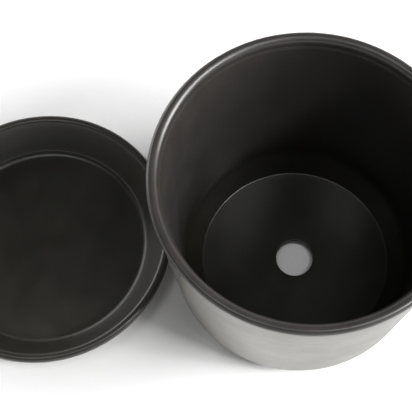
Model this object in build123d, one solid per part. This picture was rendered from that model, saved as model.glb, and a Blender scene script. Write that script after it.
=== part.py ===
from build123d import *

# Self watering planter: a double-skinned tapered pot with one drain hole, and a deep double-skinned
# saucer that stands beside it and holds the water the pot drinks from.
#
# Each skin pair is a dark moulded inner vessel that hangs by its rim on the rolled edge of a steel shell.
# Millimetres. +Z is up. The origin is on the floor in the middle of the pair: pot at +X, saucer at -X.
# Every vessel is turned about its own vertical axis, so an outline is a list of corners, each a
# (radius, height, rounding). Each vessel is drawn about the origin and then moved to its own axis.

import os
from math import cos, hypot, radians, sin, tan

# ---- driving dimensions: pot ----
POT_TOP_RADIUS = 94.1  # outside of the shell's rolled edge
POT_SHELL_TOP = 155.5  # crown of the shell's rolled edge
POT_BASE_RADIUS = 66.2  # flat under the shell, where the rounded corner starts
POT_CORNER_TOP = 27.3  # where the rounded corner meets the tapered wall
SHELL_TAPER = tan(radians(3.9))  # radius the shell's wall gains per millimetre of height

POT_FLOOR = 7.1  # top of the liner's floor
POT_FLOOR_RADIUS = 65.9  # crease where the floor meets the sloping corner
POT_FLOOR_ROUNDING = 1.6
BEND_RADIUS = 77.2  # where the sloping corner meets the liner's wall
BEND_HEIGHT = 22.0
BEND_ROUNDING = 14.0
LINER_WALL = 2.6
LINER_TAPER = tan(radians(4.3))  # radius the liner's wall gains per millimetre of height
POT_RIM_WIDTH = 7.1  # dark half-round rim bead
POT_BEAD_ROUNDING = 4.3  # inner crown of the liner's rim
UNDERSIDE_ROUNDING = 3.0
SHOULDER_TOP = 154.9  # where the soft shoulder inside the rim bead meets the bead's inner side
SHOULDER_FOOT = 152.9  # where it meets the wall
SHOULDER_ROUNDING = 1.5
SHOULDER_COVE = 1.0

DRAIN_RADIUS = 13.0  # a 26 mm drain hole
DRAIN_ROUNDING = 1.0
COLLAR_WALL = 2.5  # spout under the drain hole
COLLAR_GAP = 0.6  # between the spout and the shell's hole
COLLAR_ROUNDING = 0.4
COLLAR_FILLET = 0.8

# ---- driving dimensions: saucer ----
SAUCER_TOP_RADIUS = 91.35
SAUCER_SHELL_TOP = 24.0
SAUCER_BASE_RADIUS = 70.0
SAUCER_FLARE = 0.42  # radius gained per millimetre of height just under the rolled edge
TRAY_FLOOR = 4.8
TRAY_FLOOR_RADIUS = 72.2
TRAY_CREASE_ROUNDING = 6.0
TRAY_UNDER_ROUNDING = 8.4
TRAY_RIM_WIDTH = 5.1
TRAY_BEAD_ROUNDING = 3.2  # inner crown of the tray's rim, where its sloping wall runs into it
TRAY_WALL = 2.4

# ---- where the two vessels stand ----
AXIS_SPACING = 179.4  # between the pot's axis and the saucer's
POT_CENTRE_X = (AXIS_SPACING + SAUCER_TOP_RADIUS - POT_TOP_RADIUS) / 2  # origin in the middle
SAUCER_CENTRE_X = POT_CENTRE_X - AXIS_SPACING

# ---- shared details ----
SHEET = 0.8  # steel sheet
HEM_RADIUS = 1.3  # closed roll at the top edge of a shell
CORNER_PULL = 0.58  # how far a shell's base curve is pulled into its corner
RIM_HEIGHT = 5.4  # rim bead's crown above the hem's crown, which it sits on
RIM_SEAT_GAP = 0.05  # between the rim bead's seat and the hem's crown
RIM_ROUNDING = 2.7  # rim bead's outer crown
RIM_UNDER_ROUNDING = 1.4  # rim bead's outer lower corner
RIM_OVERHANG = 0.9  # rim bead's outer side, out from the hem's outer side
SPIGOT_GAP = 0.4  # between the rim's spigot and the hem
SPIGOT_DEPTH = 2.7
SPIGOT_ROUNDING = 0.5

# ---- feet and ribs ----
FOOT_COUNT = 3
FOOT_TAPER = 0.6  # a foot's face is this much narrower than its top
FOOT_ROUNDING = 0.5
POT_FOOT_RADIUS = 7.0
POT_FOOT_HEIGHT = 2.0
POT_FOOT_CIRCLE = 54.0
SAUCER_PAD_RADIUS = 8.0
SAUCER_PAD_HEIGHT = 1.2
SAUCER_PAD_CIRCLE = 52.0
RIB_COUNT = 6
RIB_THICKNESS = 2.0
RIB_GAP = 0.5  # between a locating rib and the shell
RIB_BOTTOM = 34.0
RIB_TOP = 134.0
RIB_LEAD = 3.0  # height of the sloping lead at each end of a rib
RIB_LEAD_DEPTH = 1.5


def turned(outline):
    """Solid made by turning an outline, drawn as radius along X and height along Y, about the Z axis."""
    return revolve(Plane.XZ * outline, axis=Axis.Z)


def rounded_outline(corners):
    """Closed outline through (radius, height, rounding) corners."""
    face = make_face(Polyline(*[(r, z) for r, z, _ in corners], close=True)).face()
    for r, z, rounding in corners:
        if rounding:
            corner = face.vertices().sort_by_distance((r, z, 0))[0]
            face = face.fillet_2d(rounding, [corner])
    return face


def rim_corners(shell_top_radius, shell_top, width, inner_rounding):
    """Corners of a rim from its inner crown outwards: bead, seat on the hem, spigot inside the hem."""
    bead_outer = shell_top_radius + RIM_OVERHANG
    crown = shell_top + RIM_HEIGHT
    seat = shell_top + RIM_SEAT_GAP
    spigot = shell_top_radius - 2 * HEM_RADIUS - SPIGOT_GAP
    return [
        (bead_outer - width, crown, inner_rounding),
        (bead_outer, crown, RIM_ROUNDING),
        (bead_outer, seat, RIM_UNDER_ROUNDING),
        (spigot, seat, 0),
        (spigot, shell_top - SPIGOT_DEPTH, SPIGOT_ROUNDING),
    ]


def hem(top_radius, top):
    """Closed roll that stiffens the top edge of a shell."""
    return Pos(top_radius - HEM_RADIUS, top - HEM_RADIUS) * Circle(HEM_RADIUS)


def shell_radius(height, radius_at, height_at):
    """Radius of the pot shell's wall at a height, from its radius at another height."""
    return radius_at + (height - height_at) * SHELL_TAPER


def liner_radius(height, radius_at, height_at):
    """Radius of the liner's wall at a height, from its radius at another height."""
    return radius_at + (height - height_at) * LINER_TAPER


def pulled(start, corner):
    """Point part of the way from a curve's end to the corner it rounds."""
    return tuple(a + (b - a) * CORNER_PULL for a, b in zip(start, corner))


def side_outline(base_radius, base, knuckle, top, corner):
    """Closed outline of a vessel's side: flat base, pulled-in corner, straight wall and flat top."""
    foot_end = (base_radius, base)
    edges = [
        Line((0, base), foot_end),
        Bezier(foot_end, pulled(foot_end, corner), pulled(knuckle, corner), knuckle),
        Line(top, (0, top[1])),
        Line((0, top[1]), (0, base)),
    ]
    if knuckle != top:
        edges.append(Line(knuckle, top))
    return make_face(Curve() + edges)


def pot_side(inset):
    """The pot shell's side, set in from the outside by inset."""
    base = POT_FOOT_HEIGHT + inset
    top = (POT_TOP_RADIUS - inset, POT_SHELL_TOP - HEM_RADIUS)
    knuckle = (shell_radius(POT_CORNER_TOP, *top), POT_CORNER_TOP)
    return side_outline(POT_BASE_RADIUS, base, knuckle, top, (shell_radius(base, *top), base))


def pot_shell():
    """Brushed steel shell: tapered tube, rounded-in base with a hole for the spout, rolled top edge."""
    skin = pot_side(0) - pot_side(SHEET)
    skin += hem(POT_TOP_RADIUS, POT_SHELL_TOP)
    spout_hole = Cylinder(DRAIN_RADIUS + COLLAR_WALL + COLLAR_GAP, 4 * POT_FOOT_HEIGHT)
    return turned(skin) - spout_hole


def bend_outside(thickness):
    """Where the liner's outer wall meets the outside of its sloping corner, one wall thickness out."""
    rise, run = BEND_HEIGHT - POT_FLOOR, BEND_RADIUS - POT_FLOOR_RADIUS
    length = hypot(rise, run)
    slope = rise / run
    slope_r = POT_FLOOR_RADIUS + thickness * rise / length
    slope_z = POT_FLOOR - thickness * run / length
    wall_r = BEND_RADIUS + thickness - (BEND_HEIGHT - slope_z + slope * slope_r) * LINER_TAPER
    bend_r = wall_r / (1 - slope * LINER_TAPER)
    bend_z = slope_z + slope * (bend_r - slope_r)
    floor_z = POT_FLOOR - thickness
    floor_r = slope_r + (floor_z - slope_z) / slope
    return (bend_r, bend_z), (floor_r, floor_z)


def pot_liner():
    """Dark inner pot: flat floor with a spout, sloping corner, tapered wall and beaded rim."""
    rim = rim_corners(POT_TOP_RADIUS, POT_SHELL_TOP, POT_RIM_WIDTH, POT_BEAD_ROUNDING)
    (bend_r, bend_z), (floor_r, floor_z) = bend_outside(LINER_WALL)
    spigot_foot = POT_SHELL_TOP - SPIGOT_DEPTH
    collar_outer = DRAIN_RADIUS + COLLAR_WALL
    corners = [
        (DRAIN_RADIUS, POT_FLOOR, DRAIN_ROUNDING),
        (POT_FLOOR_RADIUS, POT_FLOOR, POT_FLOOR_ROUNDING),
        (BEND_RADIUS, BEND_HEIGHT, BEND_ROUNDING),
        (liner_radius(SHOULDER_FOOT, BEND_RADIUS, BEND_HEIGHT), SHOULDER_FOOT, SHOULDER_ROUNDING),
        (rim[0][0], SHOULDER_TOP, SHOULDER_COVE),
        *rim,
        (liner_radius(spigot_foot, bend_r, bend_z), spigot_foot, SPIGOT_ROUNDING),
        (bend_r, bend_z, BEND_ROUNDING + LINER_WALL),
        (floor_r, floor_z, UNDERSIDE_ROUNDING),
        (collar_outer, floor_z, COLLAR_FILLET),
        (collar_outer, POT_FOOT_HEIGHT, COLLAR_ROUNDING),
        (DRAIN_RADIUS, POT_FOOT_HEIGHT, COLLAR_ROUNDING),
    ]
    return turned(rounded_outline(corners)) + locating_ribs(bend_r, bend_z)


def locating_ribs(bend_r, bend_z):
    """Upright fins on the liner's outside that keep it centred in the shell."""
    shell_inside = POT_TOP_RADIUS - SHEET - RIB_GAP
    hem_height = POT_SHELL_TOP - HEM_RADIUS
    root = LINER_WALL / 2

    def outer(z):
        return shell_radius(z, shell_inside, hem_height)

    def inner(z):
        return liner_radius(z, bend_r, bend_z) - root

    corners = [
        (inner(RIB_BOTTOM), RIB_BOTTOM, 0),
        (outer(RIB_BOTTOM) - RIB_LEAD_DEPTH, RIB_BOTTOM, 0),
        (outer(RIB_BOTTOM + RIB_LEAD), RIB_BOTTOM + RIB_LEAD, 0),
        (outer(RIB_TOP - RIB_LEAD), RIB_TOP - RIB_LEAD, 0),
        (outer(RIB_TOP) - RIB_LEAD_DEPTH, RIB_TOP, 0),
        (inner(RIB_TOP), RIB_TOP, 0),
    ]
    fin = extrude(Plane.XZ * rounded_outline(corners), amount=RIB_THICKNESS / 2, both=True)
    spacing = 360 / RIB_COUNT
    return [Rot(Z=spacing * (k + 0.5)) * fin for k in range(RIB_COUNT)]


def saucer_side(inset):
    """The saucer shell's side, set in from the outside by inset."""
    base = SAUCER_PAD_HEIGHT + inset
    top = (SAUCER_TOP_RADIUS - inset, SAUCER_SHELL_TOP - HEM_RADIUS)
    corner = (top[0] - (top[1] - base) * SAUCER_FLARE, base)
    return side_outline(SAUCER_BASE_RADIUS, base, top, top, corner)


def saucer_shell():
    """Brushed steel dish with a rolled top edge."""
    skin = saucer_side(0) - saucer_side(SHEET)
    skin += hem(SAUCER_TOP_RADIUS, SAUCER_SHELL_TOP)
    return turned(skin)


def saucer_tray():
    """Dark inner dish that holds the water: flat floor and a sloping wall that runs into a beaded rim."""
    rim = rim_corners(SAUCER_TOP_RADIUS, SAUCER_SHELL_TOP, TRAY_RIM_WIDTH, TRAY_BEAD_ROUNDING)
    bead_inner, crown, _ = rim[0]
    slope = (bead_inner - TRAY_FLOOR_RADIUS) / (crown - TRAY_FLOOR)
    under = TRAY_WALL * hypot(1, slope)
    spigot_foot = SAUCER_SHELL_TOP - SPIGOT_DEPTH
    neck = TRAY_FLOOR_RADIUS + under + (spigot_foot - TRAY_FLOOR) * slope
    floor_under = TRAY_FLOOR - TRAY_WALL
    corners = [
        (0, TRAY_FLOOR, 0),
        (TRAY_FLOOR_RADIUS, TRAY_FLOOR, TRAY_CREASE_ROUNDING),
        *rim,
        (neck, spigot_foot, SPIGOT_ROUNDING),
        (TRAY_FLOOR_RADIUS + under - TRAY_WALL * slope, floor_under, TRAY_UNDER_ROUNDING),
        (0, floor_under, 0),
    ]
    return turned(rounded_outline(corners))


def foot(radius, height, circle, index):
    """Round foot with a softened lower edge, on a circle of feet round the Z axis."""
    corners = [(0, 0, 0), (radius - FOOT_TAPER, 0, FOOT_ROUNDING), (radius, height, 0), (0, height, 0)]
    angle = radians(90 + index * 360 / FOOT_COUNT)
    return Pos(circle * cos(angle), circle * sin(angle), 0) * turned(rounded_outline(corners))


def build():
    """Every node of the planter by name, in place."""
    pot = {"pot_shell": pot_shell(), "pot_liner": pot_liner()}
    saucer = {"saucer_shell": saucer_shell(), "saucer_tray": saucer_tray()}
    for index in range(FOOT_COUNT):
        number = index + 1
        pot[f"pot_foot_{number}"] = foot(POT_FOOT_RADIUS, POT_FOOT_HEIGHT, POT_FOOT_CIRCLE, index)
        pad = foot(SAUCER_PAD_RADIUS, SAUCER_PAD_HEIGHT, SAUCER_PAD_CIRCLE, index)
        saucer[f"saucer_pad_{number}"] = pad
    placed = {name: Pos(POT_CENTRE_X, 0, 0) * shape for name, shape in pot.items()}
    placed |= {name: Pos(SAUCER_CENTRE_X, 0, 0) * shape for name, shape in saucer.items()}
    return placed


os.makedirs("parts", exist_ok=True)
for name, shape in build().items():
    export_step(shape, f"parts/{name}.step")
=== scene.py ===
"""Looks of the self watering planter: turned steel shells, dark moulded liner and tray, rubber feet.

Every visible vessel is turned here about its own axis from a finely rounded outline. Lengths are in metres.
The places and heights come from the CAD nodes' boxes; wall thicknesses and roundings repeat the CAD's own.
"""

from math import acos, atan2, ceil, cos, hypot, pi, radians, sin, tan

import bpy
from mathutils import Matrix, Vector


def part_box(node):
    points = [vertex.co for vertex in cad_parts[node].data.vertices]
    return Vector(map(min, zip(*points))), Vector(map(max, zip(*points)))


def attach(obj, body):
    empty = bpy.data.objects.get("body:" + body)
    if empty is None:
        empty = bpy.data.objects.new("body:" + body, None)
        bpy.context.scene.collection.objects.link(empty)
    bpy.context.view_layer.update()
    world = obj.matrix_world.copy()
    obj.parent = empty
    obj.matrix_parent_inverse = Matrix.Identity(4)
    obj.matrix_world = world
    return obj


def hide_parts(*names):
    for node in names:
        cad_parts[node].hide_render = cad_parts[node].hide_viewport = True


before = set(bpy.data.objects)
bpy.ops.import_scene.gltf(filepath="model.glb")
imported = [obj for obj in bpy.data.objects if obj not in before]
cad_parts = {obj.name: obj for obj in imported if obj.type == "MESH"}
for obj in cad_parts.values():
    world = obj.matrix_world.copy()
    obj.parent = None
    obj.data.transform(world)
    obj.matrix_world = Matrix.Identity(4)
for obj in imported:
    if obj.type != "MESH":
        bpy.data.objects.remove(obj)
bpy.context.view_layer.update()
MM = 0.001

# ---- the CAD frame's own places and sizes ----
POT_LOW, POT_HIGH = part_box("pot_shell")
LINER_LOW, LINER_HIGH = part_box("pot_liner")
DISH_LOW, DISH_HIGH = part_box("saucer_shell")
_, TRAY_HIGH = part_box("saucer_tray")
POT_X = (POT_LOW.x + POT_HIGH.x) / 2
DISH_X = (DISH_LOW.x + DISH_HIGH.x) / 2
POT_RADIUS = (POT_HIGH.x - POT_LOW.x) / 2  # of the steel shells, outside their rolled edges
DISH_RADIUS = (DISH_HIGH.x - DISH_LOW.x) / 2

# ---- sheet steel ----
SHEET = 0.8 * MM
HEM = 1.3 * MM  # radius of the roll along a shell's top edge
SHELL_TAPER = tan(radians(3.9))
POT_BASE_RADIUS = 66.2 * MM
POT_CORNER_TOP = 27.3 * MM
DISH_BASE_RADIUS = 70.0 * MM
DISH_FLARE = 0.42
CORNER_PULL = 0.58  # how far a base corner's curve is pulled into its corner

# ---- dark mouldings ----
LINER_WALL = 2.6 * MM
LINER_TAPER = tan(radians(4.3))
LINER_FLOOR = 7.1 * MM
FLOOR_RADIUS = 65.9 * MM
FLOOR_ROUNDING = 1.6 * MM
BEND_RADIUS = 77.2 * MM
BEND_HEIGHT = 22.0 * MM
BEND_ROUNDING = 14.0 * MM
UNDERSIDE_ROUNDING = 3.0 * MM
DRAIN_RADIUS = 13.0 * MM
DRAIN_ROUNDING = 1.0 * MM
SPOUT_WALL = 2.5 * MM
SPOUT_GAP = 0.6 * MM  # between the spout and the hole in the shell's base
SPOUT_FILLET = 0.8 * MM
SPOUT_ROUNDING = 0.4 * MM
POT_RIM_WIDTH = 7.1 * MM
POT_BEAD_ROUNDING = 4.3 * MM  # inner crown of the liner's rim
TRAY_RIM_WIDTH = 5.1 * MM
TRAY_BEAD_ROUNDING = 3.2 * MM
RIM_ROUNDING = 2.7 * MM  # outer crown of both rims
RIM_UNDER_ROUNDING = 1.4 * MM
RIM_OVERHANG = 0.9 * MM
RIM_SEAT_GAP = 0.05 * MM
SHOULDER_TOP = 154.9 * MM  # where the soft shoulder inside the rim bead meets the bead's inner side
SHOULDER_FOOT = 152.9 * MM  # where it meets the wall
SHOULDER_ROUNDING = 1.5 * MM
SHOULDER_COVE = 1.0 * MM
SPIGOT_GAP = 0.4 * MM
SPIGOT_DEPTH = 2.7 * MM
SPIGOT_ROUNDING = 0.5 * MM
SPIGOT_COVE = 0.1 * MM  # between the spigot and the seat
TRAY_FLOOR = 4.8 * MM
TRAY_FLOOR_RADIUS = 72.2 * MM
TRAY_CREASE = 6.0 * MM
TRAY_UNDER_CREASE = 8.4 * MM
TRAY_WALL = 2.4 * MM
FIN_COUNT = 6
FIN_SPACING = 2 * pi / FIN_COUNT
FIN_THICKNESS = 2.0 * MM
FIN_GAP = 0.5 * MM
FIN_BOTTOM = 34.0 * MM
FIN_TOP = 134.0 * MM
FIN_LEAD = 3.0 * MM  # height of the sloping lead at each end of a fin
FIN_LEAD_DEPTH = 1.5 * MM

# ---- rubber feet and pads ----
FOOT_NUMBERS = (1, 2, 3)
FOOT_DISH = 0.3 * MM  # depth of the shallow dish in a foot's face
FOOT_DISH_REACH = 0.55  # of the foot's radius, where the dish starts to come down
FOOT_RING_REACH = 0.62  # of the foot's radius, where the face it stands on starts
FOOT_RING_ROUNDING = 0.2 * MM
FOOT_EDGE = 0.4 * MM  # rounding at the foot's outer edge

# ---- finishes, each a darker and a paler tone ----
STEEL_TONES = ((0.178, 0.171, 0.154), (0.212, 0.204, 0.184))
SHADED_LOW_TONES = ((0.019, 0.0182, 0.0142), (0.025, 0.0238, 0.019))  # painted shade: the moulding's colour low down, darker where less light reaches
LIT_HIGH_TONES = ((0.0245, 0.022, 0.0205), (0.031, 0.028, 0.0262))  # painted light: the moulding's paler brown colour higher up, where more light falls
RUBBER_TONES = ((0.018, 0.018, 0.018), (0.05, 0.048, 0.045))
SHADED_LOW_HEIGHT = 20 * MM  # up to here the moulding has its painted-shade tones
LIT_HIGH_HEIGHT = 70 * MM  # from here up it has its paler painted-light tones
LINER_PAINTED_SHADE = 0.5  # painted shade: brightness of the liner's low tones against the tray's, darker deep inside the pot

# ---- mesh fineness ----
TURN_STEPS = 288
FOOT_STEPS = 48
CURVE_STEPS = 24
ARC_STEP = radians(9)
LONGEST_EDGE = 4.0 * MM
SHARP_ANGLE = radians(40)  # edges that turn by more than this are shaded sharp
FLANK_OFFSET = 0.15 * MM  # from a fin's flank to the mesh columns at either side of it
COLUMN_GAP = radians(0.4)  # least angle between a fin's mesh columns and the evenly spread ones


# ---------------------------------------------------------------- outlines


def arc(centre, radius, start, end):
    """Points on an arc from one angle to another."""
    steps = max(2, ceil(abs(end - start) / ARC_STEP))
    turn = [start + (end - start) * k / steps for k in range(steps + 1)]
    return [(centre[0] + radius * cos(t), centre[1] + radius * sin(t)) for t in turn]


def bezier(a, b, c, d):
    """Points on a cubic curve."""
    points = []
    for k in range(CURVE_STEPS + 1):
        t = k / CURVE_STEPS
        w = ((1 - t) ** 3, 3 * t * (1 - t) ** 2, 3 * t * t * (1 - t), t**3)
        points.append(tuple(sum(wi * p[i] for wi, p in zip(w, (a, b, c, d))) for i in (0, 1)))
    return points


def corner_arc(before, corner, after, rounding):
    """Points on the arc that rounds a corner between two straight runs."""
    here = Vector(corner)
    to_before = (Vector(before) - here).normalized()
    to_after = (Vector(after) - here).normalized()
    half = to_before.angle(to_after) / 2
    centre = here + (to_before + to_after).normalized() * rounding / sin(half)
    start = here + to_before * rounding / tan(half) - centre
    end = here + to_after * rounding / tan(half) - centre
    a, b = atan2(start.y, start.x), atan2(end.y, end.x)
    swing = (b - a + pi) % (2 * pi) - pi
    return arc(centre, rounding, a, a + swing)


def rounded(corners, closed=True):
    """Outline through (radius, height, rounding) corners."""
    points = []
    for k, (r, z, rounding) in enumerate(corners):
        if rounding:
            before, after = corners[k - 1], corners[(k + 1) % len(corners)]
            points += corner_arc(before[:2], (r, z), after[:2], rounding)
        else:
            points.append((r, z))
    return subdivided(points, closed)


def subdivided(points, closed):
    """The same outline with its long straight runs cut into shorter ones."""
    result = []
    count = len(points) if closed else len(points) - 1
    for k in range(count):
        a, b = points[k], points[(k + 1) % len(points)]
        steps = max(1, ceil(hypot(b[0] - a[0], b[1] - a[1]) / LONGEST_EDGE))
        for s in range(steps):
            t = s / steps
            result.append((a[0] + (b[0] - a[0]) * t, a[1] + (b[1] - a[1]) * t))
    if not closed:
        result.append(points[-1])
    return result


# ---------------------------------------------------------------- turned meshes


def spread(count):
    """Angles of mesh columns spread evenly round an axis."""
    return [2 * pi * k / count for k in range(count)]


def turned(name, outline, centre_x, angles=None, closed=True, reach=None):
    """Mesh made by turning an outline about the vertical line at centre_x.

    reach, if given, is a function of (angle, radius, height) that returns the radius to use there."""
    angles = angles or spread(TURN_STEPS)
    verts, rings = [], []
    for r, z in outline:
        if r == 0:
            rings.append([len(verts)])
            verts.append((0, 0, z))
            continue
        rings.append(range(len(verts), len(verts) + len(angles)))
        for a in angles:
            radius = reach(a, r, z) if reach else r
            verts.append((radius * cos(a), radius * sin(a), z))
    faces = []
    count = len(rings) if closed else len(rings) - 1
    for k in range(count):
        low, high = rings[k], rings[(k + 1) % len(rings)]
        for j in range(len(angles)):
            n = (j + 1) % len(angles)
            if len(low) == 1:
                faces.append((low[0], high[n], high[j]))
            elif len(high) == 1:
                faces.append((low[j], low[n], high[0]))
            else:
                faces.append((low[j], low[n], high[n], high[j]))
    mesh = bpy.data.meshes.new(name)
    mesh.from_pydata(verts, [], faces)
    mesh.shade_smooth()
    mesh.set_sharp_from_angle(angle=SHARP_ANGLE)
    mesh.update()
    piece = bpy.data.objects.new(name + "_look", mesh)
    piece.location = (centre_x, 0, 0)
    bpy.context.scene.collection.objects.link(piece)
    return piece


def shell_outline(side, hem_centre, inner_side, hole):
    """Outline of a sheet vessel: outside from the base up, round the rolled edge and down the inside."""
    meet = acos((inner_side[-1][0] - hem_centre[0]) / HEM)
    roll = arc(hem_centre, HEM, 0, 2 * pi - meet)
    inside = inner_side[::-1][1:]
    points = [(hole, side[0][1]), *side, *roll[1:], *inside, (hole, inner_side[0][1])]
    return subdivided(points, closed=hole > 0)


def pulled(start, corner):
    """Point part of the way from a curve's end to the corner it rounds."""
    return tuple(a + (b - a) * CORNER_PULL for a, b in zip(start, corner))


def sheet_side(foot_end, knuckle, top, corner):
    """Side line of a sheet vessel from its flat base through a pulled-in corner to its straight wall."""
    side = bezier(foot_end, pulled(foot_end, corner), pulled(knuckle, corner), knuckle)
    return side if top == knuckle else [*side, top]


def pot_shell_outline():
    """The pot's steel shell."""
    hem_z = POT_HIGH.z - HEM

    def side(inset):
        base, top = POT_LOW.z + inset, POT_RADIUS - inset
        knuckle = (top - (hem_z - POT_CORNER_TOP) * SHELL_TAPER, POT_CORNER_TOP)
        corner = (top - (hem_z - base) * SHELL_TAPER, base)
        return sheet_side((POT_BASE_RADIUS, base), knuckle, (top, hem_z), corner)

    spout_hole = DRAIN_RADIUS + SPOUT_WALL + SPOUT_GAP
    return shell_outline(side(0), (POT_RADIUS - HEM, hem_z), side(SHEET), spout_hole)


def saucer_shell_outline():
    """The saucer's steel shell."""
    hem_z = DISH_HIGH.z - HEM

    def side(inset):
        base, top = DISH_LOW.z + inset, DISH_RADIUS - inset
        corner = (top - (hem_z - base) * DISH_FLARE, base)
        return sheet_side((DISH_BASE_RADIUS, base), (top, hem_z), (top, hem_z), corner)

    return shell_outline(side(0), (DISH_RADIUS - HEM, hem_z), side(SHEET), 0)


def rim_corners(shell_radius, shell_top, crown, width, inner_rounding):
    """Corners of a moulded rim from its inner crown outwards: bead, seat on the rolled edge, spigot.

    crown is the height of the bead's top and width the bead's width."""
    outer = shell_radius + RIM_OVERHANG
    seat = shell_top + RIM_SEAT_GAP
    spigot = shell_radius - 2 * HEM - SPIGOT_GAP
    return [
        (outer - width, crown, inner_rounding),
        (outer, crown, RIM_ROUNDING),
        (outer, seat, RIM_UNDER_ROUNDING),
        (spigot, seat, SPIGOT_COVE),
        (spigot, shell_top - SPIGOT_DEPTH, SPIGOT_ROUNDING),
    ]


def liner_bend():
    """Outside of the liner's sloping corner: where it meets the wall, and where it meets the underside."""
    rise, run = BEND_HEIGHT - LINER_FLOOR, BEND_RADIUS - FLOOR_RADIUS
    length, slope = hypot(rise, run), rise / run
    slope_r = FLOOR_RADIUS + LINER_WALL * rise / length
    slope_z = LINER_FLOOR - LINER_WALL * run / length
    wall_r = BEND_RADIUS + LINER_WALL - (BEND_HEIGHT - slope_z + slope * slope_r) * LINER_TAPER
    bend_r = wall_r / (1 - slope * LINER_TAPER)
    bend_z = slope_z + slope * (bend_r - slope_r)
    floor_z = LINER_FLOOR - LINER_WALL
    floor_r = slope_r + (floor_z - slope_z) / slope
    return (bend_r, bend_z), (floor_r, floor_z)


def liner_outline():
    """The pot's dark liner, with a soft shoulder inside its rim and a spout under the drain hole."""
    (bend_r, bend_z), (floor_r, floor_z) = liner_bend()
    rim = rim_corners(POT_RADIUS, POT_HIGH.z, LINER_HIGH.z, POT_RIM_WIDTH, POT_BEAD_ROUNDING)
    spigot_foot = POT_HIGH.z - SPIGOT_DEPTH
    shoulder = BEND_RADIUS + (SHOULDER_FOOT - BEND_HEIGHT) * LINER_TAPER
    spout = DRAIN_RADIUS + SPOUT_WALL
    return rounded(
        [
            (DRAIN_RADIUS, LINER_FLOOR, DRAIN_ROUNDING),
            (FLOOR_RADIUS, LINER_FLOOR, FLOOR_ROUNDING),
            (BEND_RADIUS, BEND_HEIGHT, BEND_ROUNDING),
            (shoulder, SHOULDER_FOOT, SHOULDER_ROUNDING),
            (rim[0][0], SHOULDER_TOP, SHOULDER_COVE),
            *rim,
            (bend_r + (spigot_foot - bend_z) * LINER_TAPER, spigot_foot, SPIGOT_ROUNDING),
            (bend_r, bend_z, BEND_ROUNDING + LINER_WALL),
            (floor_r, floor_z, UNDERSIDE_ROUNDING),
            (spout, floor_z, SPOUT_FILLET),
            (spout, LINER_LOW.z, SPOUT_ROUNDING),
            (DRAIN_RADIUS, LINER_LOW.z, SPOUT_ROUNDING),
        ]
    )


def tray_outline():
    """The saucer's dark tray, from the middle of its floor round to the middle of its underside."""
    rim = rim_corners(DISH_RADIUS, DISH_HIGH.z, TRAY_HIGH.z, TRAY_RIM_WIDTH, TRAY_BEAD_ROUNDING)
    slope = (rim[0][0] - TRAY_FLOOR_RADIUS) / (TRAY_HIGH.z - TRAY_FLOOR)
    outside = TRAY_FLOOR_RADIUS + TRAY_WALL * hypot(1, slope)
    neck_z = DISH_HIGH.z - SPIGOT_DEPTH
    under = TRAY_FLOOR - TRAY_WALL
    return rounded(
        [
            (0, TRAY_FLOOR, 0),
            (TRAY_FLOOR_RADIUS, TRAY_FLOOR, TRAY_CREASE),
            *rim,
            (outside + (neck_z - TRAY_FLOOR) * slope, neck_z, SPIGOT_ROUNDING),
            (outside - TRAY_WALL * slope, under, TRAY_UNDER_CREASE),
            (0, under, 0),
        ],
        closed=False,
    )


def fin_angles():
    """Angles of the liner's mesh columns: evenly spread, with two close ones at each side of a fin."""
    offsets = (FIN_THICKNESS / 2 - FLANK_OFFSET, FIN_THICKNESS / 2 + FLANK_OFFSET)
    flanks = [side * offset / POT_RADIUS for side in (-1, 1) for offset in offsets]
    fins = [FIN_SPACING * (k + 0.5) + flank for k in range(FIN_COUNT) for flank in flanks]
    clear = [a for a in spread(TURN_STEPS) if all(abs(a - f) > COLUMN_GAP for f in fins)]
    return sorted(clear + fins)


def fin_reach(angle, radius, height):
    """Radius on the liner's outside where a fin stands out from the wall."""
    (bend_r, bend_z), _ = liner_bend()
    wall = bend_r + (height - bend_z) * LINER_TAPER
    nearest = FIN_SPACING * (angle // FIN_SPACING + 0.5)
    off_fin = abs(angle - nearest) * POT_RADIUS > FIN_THICKNESS / 2
    inside = radius < wall - LINER_WALL / 2
    if off_fin or inside or not FIN_BOTTOM <= height <= FIN_TOP:
        return radius
    from_end = min(height - FIN_BOTTOM, FIN_TOP - height)
    shell_inside = POT_RADIUS - SHEET - FIN_GAP - (POT_HIGH.z - HEM - height) * SHELL_TAPER
    return shell_inside - max(0, 1 - from_end / FIN_LEAD) * FIN_LEAD_DEPTH


def foot_outline(radius, height):
    """A low round foot with a soft lower edge, a shallow dish in its face and its top glued flat."""
    return rounded(
        [
            (0, FOOT_DISH, 0),
            (radius * FOOT_DISH_REACH, FOOT_DISH, FOOT_DISH),
            (radius * FOOT_RING_REACH, 0, FOOT_RING_ROUNDING),
            (radius - FOOT_EDGE, 0, FOOT_EDGE),
            (radius, height, 0),
            (0, height, 0),
        ],
        closed=False,
    )


# ---------------------------------------------------------------- material nodes


COLOUR_A, COLOUR_B, COLOUR_OUT = 6, 7, 2  # a Mix node's sockets when it mixes colours


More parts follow.
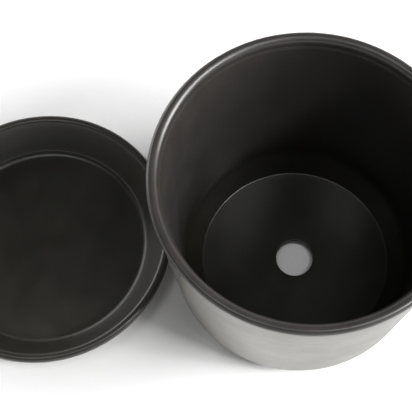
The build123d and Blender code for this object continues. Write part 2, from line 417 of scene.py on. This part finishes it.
class Nodes:
    """A short way to build a material's node tree. Noise scales are in features per metre."""

    def __init__(self, name):
        self.material = bpy.data.materials.new(name)
        self.material.use_nodes = True
        self.tree = self.material.node_tree
        self.bsdf = self.tree.nodes["Principled BSDF"]

    def node(self, kind, inputs=None, **settings):
        """Adds a node, with its settings and the values or links of its inputs."""
        made = self.tree.nodes.new("ShaderNode" + kind)
        for key, value in settings.items():
            setattr(made, key, value)
        for key, value in (inputs or {}).items():
            self.put(made.inputs[key], value)
        return made

    def put(self, socket, value):
        """Links an output to a socket, or sets the socket's own value."""
        if isinstance(value, bpy.types.NodeSocket):
            self.tree.links.new(value, socket)
        else:
            socket.default_value = value

    def math(self, operation, a, b=0.0):
        return self.node("Math", {0: a, 1: b}, operation=operation).outputs[0]

    def noise(self, vector, scale, detail=3.0, roughness=0.55):
        inputs = {"Vector": vector, "Scale": scale, "Detail": detail, "Roughness": roughness}
        return self.node("TexNoise", inputs).outputs["Fac"]

    def between(self, value, low, high, start=0.3, end=0.7):
        """Maps a value from start..end to low..high."""
        inputs = {"Value": value, "From Min": start, "From Max": end, "To Min": low, "To Max": high}
        return self.node("MapRange", inputs).outputs[0]

    def mix(self, factor, a, b):
        mixed = self.node("Mix", data_type="RGBA")
        self.put(mixed.inputs["Factor"], factor)
        self.put(mixed.inputs[COLOUR_A], a)
        self.put(mixed.inputs[COLOUR_B], b)
        return mixed.outputs[COLOUR_OUT]

    def tone(self, factor, tones, brightness=1.0):
        """Colour between a darker and a paler tone."""
        dark, pale = ([brightness * c for c in tone] + [1] for tone in tones)
        return self.mix(factor, dark, pale)

    def bump(self, height, distance, strength, under=None):
        inputs = {"Height": height, "Distance": distance, "Strength": strength}
        if under:
            inputs["Normal"] = under
        return self.node("Bump", inputs).outputs[0]

    def finish(self, **inputs):
        """Sets or links the surface's own inputs and hands back the material."""
        for key, value in inputs.items():
            self.put(self.bsdf.inputs[key.replace("_", " ")], value)
        return self.material


def ring_coordinates(n, across):
    """Coordinates that run long round the axis and short across it, for turned and brushed marks."""
    place = n.node("TexCoord").outputs["Object"]
    x, y, z = n.node("SeparateXYZ", {0: place}).outputs
    radius = n.math("SQRT", n.math("ADD", n.math("MULTIPLY", x, x), n.math("MULTIPLY", y, y)))
    depth = n.math("MULTIPLY", n.math("ADD", z, radius), across)
    parts = {0: n.math("DIVIDE", x, radius), 1: n.math("DIVIDE", y, radius), 2: depth}
    return n.node("CombineXYZ", parts).outputs[0]


def brushed_steel():
    """Satin steel with fine circular brushing, broader streaks and faint handling marks."""
    n = Nodes("brushed_steel")
    fine = n.noise(ring_coordinates(n, 900), 3.0, 2.0)
    streaks = n.noise(ring_coordinates(n, 220), 2.2, 3.0, 0.6)
    place = n.node("TexCoord").outputs["Object"]
    smudge = n.noise(place, 28.0, 4.0, 0.6)
    colour = n.tone(n.between(streaks, 0.0, 1.0), STEEL_TONES)
    rough = n.math("ADD", n.between(fine, 0.34, 0.44), n.between(smudge, -0.03, 0.05))
    relief = n.bump(fine, 0.02 * MM, 0.5, under=n.bump(streaks, 0.05 * MM, 0.35))
    tangent = n.node("Tangent", direction_type="RADIAL", axis="Z").outputs[0]
    return n.finish(
        Base_Color=colour, Metallic=1.0, Roughness=rough, Anisotropic=0.55, Tangent=tangent, Normal=relief
    )


def dark_moulding(name, brightness):
    """Satin moulding with painted shade: darker low down and paler brown higher up, where more light falls;
    with a fine grain and slight mottling.

    brightness is that of its painted-shade low part, against the tray's."""
    n = Nodes(name)
    place = n.node("TexCoord").outputs["Object"]
    height = n.node("SeparateXYZ", {0: place}).outputs["Z"]
    grain = n.noise(place, 2600.0, 2.0, 0.5)
    mottle = n.noise(place, 55.0, 4.0, 0.6)
    cloud = n.noise(place, 14.0, 2.0)
    # painted shade and light: the colour goes from the shaded low tones to the paler lit tones with height,
    # its boundary wavered by noise
    climb = n.between(height, 0.0, 1.0, SHADED_LOW_HEIGHT, LIT_HIGH_HEIGHT)
    shade_blend = n.math("ADD", climb, n.between(cloud, -0.15, 0.15))
    low = n.tone(n.between(mottle, 0.0, 1.0), SHADED_LOW_TONES, brightness)
    high = n.tone(n.between(mottle, 0.0, 1.0), LIT_HIGH_TONES)
    rough = n.math("ADD", n.between(mottle, 0.295, 0.335), n.between(cloud, -0.01, 0.01))
    relief = n.bump(grain, 0.01 * MM, 0.3, under=n.bump(mottle, 0.05 * MM, 0.1))
    return n.finish(Base_Color=n.mix(shade_blend, low, high), Roughness=rough, Normal=relief)


def foot_rubber():
    """Matt black rubber with dust in its grain."""
    n = Nodes("foot_rubber")
    place = n.node("TexCoord").outputs["Object"]
    grain = n.noise(place, 1500.0, 3.0)
    dust = n.noise(place, 240.0, 4.0, 0.65)
    colour = n.tone(n.between(dust, 0.0, 1.0, 0.5, 0.75), RUBBER_TONES)
    return n.finish(
        Base_Color=colour, Roughness=n.between(grain, 0.75, 0.9), Normal=n.bump(grain, 0.08 * MM, 0.6)
    )


def pale_floor():
    """Plain pale studio floor."""
    n = Nodes("pale_floor")
    colour = (FLOOR_TONE, FLOOR_TONE, FLOOR_TONE, 1)
    return n.finish(Base_Color=colour, Roughness=0.9, Specular_IOR_Level=0.1)


# ---------------------------------------------------------------- the object


def fit(piece, node, body, material):
    """Puts a piece in a node's place: it rides on the node's body and takes its slot's finish."""
    piece.data.materials.append(material)
    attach(piece, body)
    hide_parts(node)


def build_object():
    """The four turned vessels and the six feet and pads."""
    steel, rubber = brushed_steel(), foot_rubber()
    fit(turned("pot_shell", pot_shell_outline(), POT_X), "pot_shell", "pot", steel)
    liner = turned("pot_liner", liner_outline(), POT_X, angles=fin_angles(), reach=fin_reach)
    fit(liner, "pot_liner", "liner", dark_moulding("liner_moulding", LINER_PAINTED_SHADE))
    dish = turned("saucer_shell", saucer_shell_outline(), DISH_X, closed=False)
    fit(dish, "saucer_shell", "saucer", steel)
    tray = turned("saucer_tray", tray_outline(), DISH_X, closed=False)
    fit(tray, "saucer_tray", "tray", dark_moulding("tray_moulding", 1.0))
    for name, body in (("pot_foot", "pot"), ("saucer_pad", "saucer")):
        for number in FOOT_NUMBERS:
            node = f"{name}_{number}"
            low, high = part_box(node)
            outline = foot_outline((high.x - low.x) / 2, high.z)
            foot = turned(node, outline, (low.x + high.x) / 2, angles=spread(FOOT_STEPS), closed=False)
            foot.location.y = (low.y + high.y) / 2
            fit(foot, node, body, rubber)


# ---------------------------------------------------------------- studio

CAMERA_FROM_POT = (-0.0307, -0.23399, 0.70482)  # from the foot of the pot's axis
CAMERA_YAW = radians(-7.476)
CAMERA_PITCH = radians(-68.689)
CAMERA_ROLL = radians(-3.597)
CAMERA_LENS = 89.338  # millimetres
CAMERA_SENSOR = 36.0

# name, azimuth from +X towards +Y, elevation, width, and how brightly it alone lights the floor
LIGHTS = (
    ("key", -20, 48, 0.55, 0.42),
    ("side", 0, 32, 0.9, 0.42),
    ("low", 4, 14, 0.8, 0.14),
    ("top", 330, 70, 0.7, 0.14),
    ("over", 215, 74, 0.6, 0.08),
    ("back", 145, 17, 2.0, 0.14),
)
LIGHT_DISTANCE = 2.5
FLOOR_TONE = 0.8
FLOOR_HALF = 6.0
HORIZON_STRENGTH = 1.3  # glow of the pale room low down
ZENITH_STRENGTH = 0.03  # dark ceiling
GLOW_LOW, GLOW_HIGH = 0.2, 0.4  # sine of the elevation where the glow starts to fade, and where it ends


def add_lights():
    """Soft boxes round the planter, each facing it."""
    for name, azimuth, elevation, width, brightness in LIGHTS:
        a, e = radians(azimuth), radians(elevation)
        direction = Vector((cos(a) * cos(e), sin(a) * cos(e), sin(e)))
        data = bpy.data.lights.new(name, "AREA")
        data.shape, data.size = "SQUARE", width
        data.energy = brightness * (pi * LIGHT_DISTANCE) ** 2 / (FLOOR_TONE * sin(e))
        lamp = bpy.data.objects.new(name, data)
        lamp.location = Vector((POT_X, 0, 0)) + direction * LIGHT_DISTANCE
        lamp.rotation_euler = direction.to_track_quat("Z", "Y").to_euler()
        lamp.visible_camera = False
        bpy.context.scene.collection.objects.link(lamp)


def add_world():
    """Pale glow round the horizon under a dark ceiling."""
    world = bpy.data.worlds.new("studio")
    world.use_nodes = True
    tree = world.node_tree
    place = tree.nodes.new("ShaderNodeTexCoord")
    parts = tree.nodes.new("ShaderNodeSeparateXYZ")
    fade = tree.nodes.new("ShaderNodeMapRange")
    fade.interpolation_type = "SMOOTHSTEP"
    limits = (GLOW_LOW, GLOW_HIGH, HORIZON_STRENGTH, ZENITH_STRENGTH)
    for key, value in zip(("From Min", "From Max", "To Min", "To Max"), limits):
        fade.inputs[key].default_value = value
    glow = tree.nodes["Background"]
    glow.inputs["Color"].default_value = (1, 1, 1, 1)
    tree.links.new(place.outputs["Generated"], parts.inputs[0])
    tree.links.new(parts.outputs["Z"], fade.inputs["Value"])
    tree.links.new(fade.outputs[0], glow.inputs["Strength"])
    bpy.context.scene.world = world


def add_floor():
    """A wide pale floor under the planter."""
    mesh = bpy.data.meshes.new("floor")
    corners = [(x * FLOOR_HALF, y * FLOOR_HALF, 0) for x, y in ((-1, -1), (1, -1), (1, 1), (-1, 1))]
    mesh.from_pydata(corners, [], [(0, 1, 2, 3)])
    mesh.materials.append(pale_floor())
    floor = bpy.data.objects.new("floor", mesh)
    bpy.context.scene.collection.objects.link(floor)


def add_camera():
    """Camera above the pot's near side, looking steeply down."""
    level = cos(CAMERA_PITCH)
    ahead = Vector((sin(CAMERA_YAW) * level, cos(CAMERA_YAW) * level, sin(CAMERA_PITCH)))
    right = Vector((cos(CAMERA_YAW), -sin(CAMERA_YAW), 0))
    up = right.cross(ahead)
    rolled_right = right * cos(CAMERA_ROLL) + up * sin(CAMERA_ROLL)
    rolled_up = up * cos(CAMERA_ROLL) - right * sin(CAMERA_ROLL)
    data = bpy.data.cameras.new("camera")
    data.lens, data.sensor_width = CAMERA_LENS, CAMERA_SENSOR
    camera = bpy.data.objects.new("camera", data)
    turn = Matrix((rolled_right, rolled_up, -ahead)).transposed().to_4x4()
    camera.matrix_world = Matrix.Translation(Vector(CAMERA_FROM_POT) + Vector((POT_X, 0, 0))) @ turn
    bpy.context.scene.collection.objects.link(camera)
    bpy.context.scene.camera = camera


build_object()
add_floor()
add_lights()
add_world()
add_camera()
bpy.context.scene.view_settings.view_transform = "Standard"
